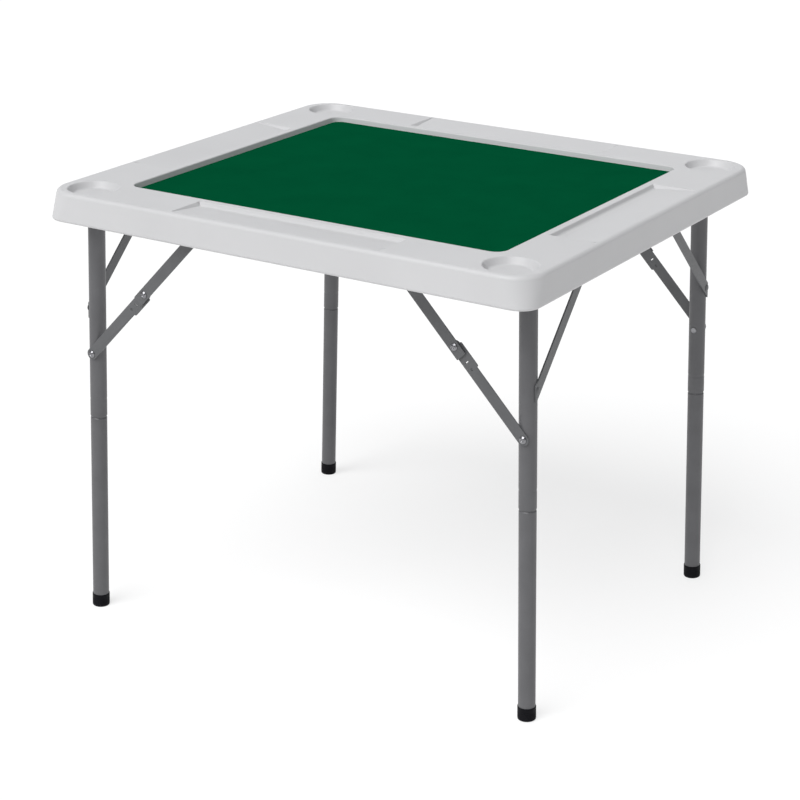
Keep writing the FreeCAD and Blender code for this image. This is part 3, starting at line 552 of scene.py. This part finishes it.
def make_tabletop():
    """The outer surface of the moulding: skirt, rim, recess, cups, trays and deck."""
    bm = bmesh.new()
    deck_edge, rim_edge = add_shell(bm)
    above = [rim_edge, add_field(bm)]
    for sx in (-1, 1):
        for sy in (-1, 1):
            centre = (sx * CUP_AT[0], sy * CUP_AT[1])
            above.append(pocket(bm, CUP, centre, RIM, CUP_STEPS))
    for quarter in range(4):
        across = 1 - quarter % 2
        above.append(add_tray(bm, TRAY_LENGTHS[across], FIELD[across] + TRAY_FROM_FIELD,
                              TOP_HALF[across] - TRAY_FROM_EDGE, quarter * math.pi / 2))
    fill_flat(bm, above)

    below = [deck_edge]
    below += [pocket(bm, TACK, spot, DECK, TACK_STEPS) for spot in tack_spots()]
    below.append(pocket(bm, BLOW_HOLE, (0, 0), DECK, TACK_STEPS))
    fill_flat(bm, below)
    piece("moulded_top", finish_mesh(bm, "moulded_top"), "top", "white_moulding", "tabletop")


FELT_CORNER = 17 * MM


def make_felt():
    """The playing cloth: a thin flat slab with soft edges."""
    low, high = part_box("felt")
    half_x, half_y = (high.x - low.x) / 2, (high.y - low.y) / 2
    thick = high.z - low.z
    bm = bmesh.new()
    profile = rounded([(-40 * MM, 0), (0, 0), (0, thick), (-10 * MM, thick)],
                      (0.1 * MM, 0.45 * MM), 22)
    loops = [add_loop(bm, rectangle_loop(half_x + p.x, half_y + p.x,
                                         max(FELT_CORNER + p.x, 1 * MM)), low.z + p.y)
             for p in profile]
    skin(bm, loops)
    bm.faces.new(loops[0])
    bm.faces.new(loops[-1])
    cloth = piece("felt_cloth", finish_mesh(bm, "felt_cloth"), "top", "green_felt", "felt")


# ---------------------------------------------------------------- legs and feet

TUBE = 13.75 * MM                # radius of an upper tube
LOWER_TUBE = 13.5 * MM
TUBE_WALL = 1.5 * MM
LOWER_WALL = 3 * MM
TUBE_STEPS = 48
JOINT_RISE = 3.5 * MM            # the joint stands this much above the CAD's
PLUG = 44 * MM                   # length of a lower tube inside the upper one
CRIMP = 0.35 * MM                # depth of the ring above the joint
END_BAND = 1.5 * MM              # CAD points this near a tube's end belong to the end

CAP = 14.5 * MM                  # radius of a foot cap
CAP_TALL = 22 * MM
CAP_FLOOR = 4.2 * MM
CAP_BORE = LOWER_TUBE + 0.05 * MM
CAP_STEPS = 44
GRIP_RINGS = 4
GRIP_START, GRIP_PITCH = 5, 2.6  # millimetres
GRIP_DEPTH = 0.45 * MM
GRIP_WIDTH = 0.9 * MM


def lower_end(name):
    """The middle of a CAD tube's lower end."""
    points = points_of(name)
    level = min(p.z for p in points) + END_BAND
    return middle([p for p in points if p.z < level])


def leg_axis(stem):
    """The middle of a leg's joint in the CAD, and the leg's direction downwards."""
    joint = lower_end(stem + "_upper_leg")
    return joint, (lower_end(stem + "_lower_leg") - joint).normalized()


def make_leg(stem, body):
    """Two drawn tubes: the upper one's mouth is rolled in over the lower one at the joint."""
    joint, down = leg_axis(stem)
    joint -= down * JOINT_RISE
    top = max(p.z for p in points_of(stem + "_upper_leg"))
    length = (top - joint.z) / -down.z - 1 * MM
    bore = TUBE - TUBE_WALL
    upper = rounded(
        [(bore, 0), (TUBE - 0.5 * MM, 0), (TUBE, 1.2 * MM), (TUBE, 27 * MM),
         (TUBE - CRIMP, 30 * MM), (TUBE, 33 * MM), (TUBE, length)],
        (0.4 * MM, 0.7 * MM, 4 * MM, 3 * MM, 4 * MM), 14)
    upper = [(p.x, p.y) for p in upper] + [(bore, length), (bore, 0)]
    reach = (joint.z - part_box(stem + "_lower_leg")[0].z) / -down.z - 0.6 * MM
    lower = rounded(
        [(bore, -PLUG), (bore, 1.6 * MM), (LOWER_TUBE, 3.4 * MM), (LOWER_TUBE, reach)],
        (0.8 * MM, 1.2 * MM), 10)
    inside = LOWER_TUBE - LOWER_WALL
    lower = [(p.x, p.y) for p in lower] + [(inside, reach), (inside, -PLUG)]
    lower.append(lower[0])
    for part, profile, axis in (("upper", upper, -down), ("lower", lower, down)):
        name = "%s_tube_%s" % (stem, part)
        piece(name, lathe(name, profile, joint, axis, TUBE_STEPS), body, "grey_powder_coat",
              "%s_%s_leg" % (stem, part))


def make_foot(stem, body):
    """A moulded cap with a rolled lip, fine grip rings and a soft lower edge."""
    name = stem + "_foot"
    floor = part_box(name)[0].z
    joint, down = leg_axis(stem)
    base = joint + down * ((joint.z - floor) / -down.z - 0.35 * MM)
    line = [(0, 0), (CAP - 0.3 * MM, 0), (CAP, 3 * MM)]
    for k in range(GRIP_RINGS):
        at = (GRIP_START + GRIP_PITCH * k) * MM
        line += [(CAP, at), (CAP - GRIP_DEPTH, at + GRIP_DEPTH), (CAP, at + GRIP_WIDTH)]
    line += [(CAP, CAP_TALL), (CAP_BORE, CAP_TALL), (CAP_BORE, CAP_TALL - 6 * MM),
             (CAP_BORE, CAP_FLOOR), (0, CAP_FLOOR)]
    radii = [1.4 * MM] + [0.1 * MM] * (len(line) - 7) + [0.7 * MM, 0.3 * MM, 0, 0.3 * MM]
    profile = [(p.x, p.y) for p in rounded(line, radii, 18)]
    mesh = lathe(name + "_cap", profile, base, -down, CAP_STEPS)
    trim = floor + 0.02 * MM
    for vertex in mesh.vertices:
        vertex.co.z = max(vertex.co.z, trim)
    piece(name + "_cap", mesh, body, "black_cap", name)


# ---------------------------------------------------------------- straps and rivets

EDGE_WIDTHS = {"stay": 0.7 * MM, "lower_arm": 0.5 * MM, "upper_arm": 0.5 * MM,
               "saddle": 0.9 * MM, "bracket": 0.6 * MM}
SHARP = math.radians(35)             # edges that turn more than this are rounded
OUTLINE_TURN = math.radians(60)      # corners of an arm's outline turn more than this
OUTLINE_RADIUS = 2.4 * MM
SPECK = 0.02 * MM                    # shorter edges than this are collapsed

MARK_FROM_KNEE = 42 * MM
MARK = [(0, -0.3 * MM), (2.5 * MM, -0.3 * MM), (2.5 * MM, 0.3 * MM), (0, 0.3 * MM)]

LEG_LEAN = math.radians(1.95)
LONG_RIVET = 20 * MM                 # leg rivets are longer than this, and stay rivets shorter
CAD_HEAD = 3.5 * MM
HEAD = 3.4 * MM
LOW_HEAD = 1.8 * MM
FLANGE = 5.9 * MM
SHANK = 3 * MM
RIVET_STEPS = 32


def islands(node):
    """The separate solids of a CAD node, each as its corner points."""
    bm = bmesh.new()
    bm.from_mesh(nodes[node].data)
    bmesh.ops.remove_doubles(bm, verts=bm.verts, dist=MERGE)
    left = set(bm.verts)
    found = []
    while left:
        queue = [min(left, key=lambda v: v.index)]
        left.discard(queue[0])
        for vertex in queue:
            for edge in vertex.link_edges:
                other = edge.other_vert(vertex)
                if other in left:
                    left.discard(other)
                    queue.append(other)
        found.append([v.co.copy() for v in queue])
    bm.free()
    return found


def on_leg(points):
    """Whether a frame's rivet is one of those through a leg."""
    return max(p.y for p in points) - min(p.y for p in points) > LONG_RIVET


def round_outline(bm):
    """Round the outer corners of a flat arm's outline."""
    corners = [e for e in bm.edges if len(e.link_faces) == 2
               and e.calc_face_angle(0) > OUTLINE_TURN
               and abs((e.verts[1].co - e.verts[0].co).normalized().y) > 0.99
               and e.is_convex
               and all(f.calc_area() > OUTLINE_RADIUS * 1.2 * MM for f in e.link_faces)]
    bmesh.ops.bevel(bm, geom=corners, offset=OUTLINE_RADIUS, offset_type="OFFSET", segments=5,
                    profile=0.5, affect="EDGES", clamp_overlap=True)


def add_mark(bm, side, end):
    """The floor of the punched mark beside the knee, seen dark in the arm's hole."""
    stem = "%s_%s_" % (side, end)
    knee = middle(points_of(stem + "knee_rivet"))
    low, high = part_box(stem + "lower_arm")
    rivet = min((middle(points) for points in islands(side + "_frame_rivets") if on_leg(points)),
                key=lambda p: abs(p.y - knee.y))
    way = rivet - knee
    way.y = 0
    spot = knee + way.normalized() * MARK_FROM_KNEE
    spot.y = (low.y + high.y) / 2
    revolve(bm, MARK, spot, Vector((0, 1, 0)), 24)


def make_pressings(side, end):
    """The flat straps and fittings: the CAD shapes with whole faces and rounded edges."""
    for part, width in EDGE_WIDTHS.items():
        node = "%s_%s_%s" % (side, end, part)
        bm = bmesh.new()
        bm.from_mesh(nodes[node].data)
        bmesh.ops.remove_doubles(bm, verts=bm.verts, dist=2 * MERGE)
        bmesh.ops.dissolve_limit(bm, angle_limit=math.radians(1), verts=bm.verts, edges=bm.edges)
        if part == "lower_arm":
            round_outline(bm)
        sharp = [e for e in bm.edges if len(e.link_faces) == 2 and e.calc_face_angle(0) > SHARP]
        bmesh.ops.bevel(bm, geom=sharp, offset=width, offset_type="OFFSET", segments=3,
                        profile=0.5, affect="EDGES", clamp_overlap=True, miter_outer="ARC")
        bmesh.ops.dissolve_degenerate(bm, dist=SPECK, edges=bm.edges)
        if part == "lower_arm":
            add_mark(bm, side, end)
        name = node + "_pressing"
        piece(name, finish_mesh(bm, name, SPECK), nodes[node]["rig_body"], slots[node], node)


def set_rivet(bm, points, axis, head=HEAD, dimple=True, tail=True):
    """A rivet lathed over a CAD rivet: a flanged head, a shank, and as asked for a punch dimple
    and an upset tail."""
    centre = middle(points)
    spans = [(p - centre).dot(axis) for p in points]
    face = max(spans) - CAD_HEAD
    back = min(spans)
    crown = face + head
    if dimple:
        line = [(0, crown - 1.1 * MM), (1.7 * MM, crown - 1.1 * MM), (2.5 * MM, crown)]
        radii = [0.4 * MM, 0.3 * MM]
    else:
        line, radii = [(0, crown)], []
    line += [(3.6 * MM, crown - 0.15 * head), (FLANGE, face + 0.3 * head), (FLANGE, face),
             (SHANK, face)]
    radii += [1.6 * MM, 0.4 * MM, 0.1 * MM, 0]
    if tail:
        line += [(SHANK, back + 1.2 * MM), (4.9 * MM, back + 1.2 * MM), (4.4 * MM, back),
                 (0, back)]
        radii += [0, 0.2 * MM, 0.5 * MM]
    else:
        line += [(SHANK, back), (0, back)]
        radii += [0.3 * MM]
    profile = [(p.x, p.y) for p in rounded(line, radii, 18)]
    revolve(bm, profile[::-1], centre, axis, RIVET_STEPS)


def make_frame_rivets(side, body):
    """The bright rivets through a frame's legs, and the low painted ones of its stays."""
    out = 1 if side == "right" else -1
    outwards = Vector((out * math.cos(LEG_LEAN), 0, math.sin(LEG_LEAN)))
    node = side + "_frame_rivets"
    legs, stays = bmesh.new(), bmesh.new()
    for points in islands(node):
        if on_leg(points):
            set_rivet(legs, points, Vector((0, math.copysign(1, middle(points).y), 0)))
        else:
            set_rivet(stays, points, outwards, head=LOW_HEAD, dimple=False, tail=False)
    piece(side + "_leg_rivets", finish_mesh(legs, side + "_leg_rivets"), body, "zinc_rivet", node)
    piece(side + "_stay_rivets", finish_mesh(stays, side + "_stay_rivets"), body,
          "brace_powder_coat", node)


def make_knee_rivet(side, end):
    node = "%s_%s_knee_rivet" % (side, end)
    bm = bmesh.new()
    for points in islands(node):
        set_rivet(bm, points, Vector((0, ENDS[end], 0)), tail=False)
    piece(node + "_head", finish_mesh(bm, node + "_head"), nodes[node]["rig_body"], "zinc_rivet",
          node)


def head_side(points, axis):
    """The way along an axis line that a CAD rivet's head faces: the head is its widest part."""
    centre = middle(points)
    widest = max(points, key=lambda p: (p - centre - axis * (p - centre).dot(axis)).length)
    return axis * math.copysign(1, (widest - centre).dot(axis))


def make_bracket_rivets():
    bm = bmesh.new()
    for points in islands("bracket_rivets"):
        set_rivet(bm, points, head_side(points, Vector((0, 1, 0))))
    piece("bracket_pivot_rivets", finish_mesh(bm, "bracket_pivot_rivets"), "top", "zinc_rivet",
          "bracket_rivets")


# ---------------------------------------------------------------- studio

FLOOR_RADIUS = 400
KEY_FROM = (-0.28, -1.55, 2.3)
GLOW_FROM = (-0.53, 0.85, 0.0)       # the brighter side of the sky, behind the table


def make_floor():
    bm = bmesh.new()
    bmesh.ops.create_circle(bm, cap_ends=True, segments=96, radius=FLOOR_RADIUS)
    mesh = bpy.data.meshes.new("studio_floor")
    bm.to_mesh(mesh)
    bm.free()
    floor = bpy.data.objects.new("studio_floor", mesh)
    scene.collection.objects.link(floor)
    mesh.materials.append(floor_material())


def make_key_light():
    """One broad, soft light from above and in front."""
    data = bpy.data.lights.new("key", "SUN")
    data.energy = 2.82
    data.angle = math.radians(45)
    lamp = bpy.data.objects.new("key", data)
    scene.collection.objects.link(lamp)
    lamp.rotation_mode = "QUATERNION"
    lamp.rotation_quaternion = Vector(KEY_FROM).to_track_quat("Z", "Y")


def make_world():
    """A pale sky that is brighter on one side, and plain white to the camera."""
    world = bpy.data.worlds.new("studio")
    scene.world = world
    world.use_nodes = True
    tree = world.node_tree
    back = tree.nodes["Background"]
    back.inputs["Color"].default_value = (0.97, 0.98, 1.0, 1)
    place = tree.nodes.new("ShaderNodeTexCoord")
    facing = tree.nodes.new("ShaderNodeVectorMath")
    facing.operation = "DOT_PRODUCT"
    facing.inputs[1].default_value = GLOW_FROM
    glow = tree.nodes.new("ShaderNodeMapRange")
    glow.interpolation_type = "SMOOTHSTEP"
    glow.inputs["From Min"].default_value = 0.45
    glow.inputs["From Max"].default_value = 0.98
    glow.inputs["To Min"].default_value = 0.30
    glow.inputs["To Max"].default_value = 0.85
    tree.links.new(place.outputs["Generated"], facing.inputs[0])
    tree.links.new(facing.outputs["Value"], glow.inputs["Value"])
    seen = tree.nodes.new("ShaderNodeLightPath")
    backdrop = tree.nodes.new("ShaderNodeMix")
    backdrop.inputs["B"].default_value = 1.0
    tree.links.new(seen.outputs["Is Camera Ray"], backdrop.inputs["Factor"])
    tree.links.new(glow.outputs["Result"], backdrop.inputs["A"])
    tree.links.new(backdrop.outputs["Result"], back.inputs["Strength"])


# ---------------------------------------------------------------- build

make_camera()
for node, slot in slots.items():
    mesh = nodes[node].data
    mesh.materials.clear()
    mesh.materials.append(materials[slot])

make_tabletop()
make_felt()
for side in SIDES:
    for end in ENDS:
        make_leg("%s_%s" % (side, end), side + "_frame")
        make_foot("%s_%s" % (side, end), side + "_frame")
for side in SIDES:
    make_frame_rivets(side, side + "_frame")
    for end in ENDS:
        make_knee_rivet(side, end)
make_bracket_rivets()
for side in SIDES:
    for end in ENDS:
        make_pressings(side, end)

make_floor()
make_key_light()
make_world()
scene.view_settings.view_transform = "Standard"
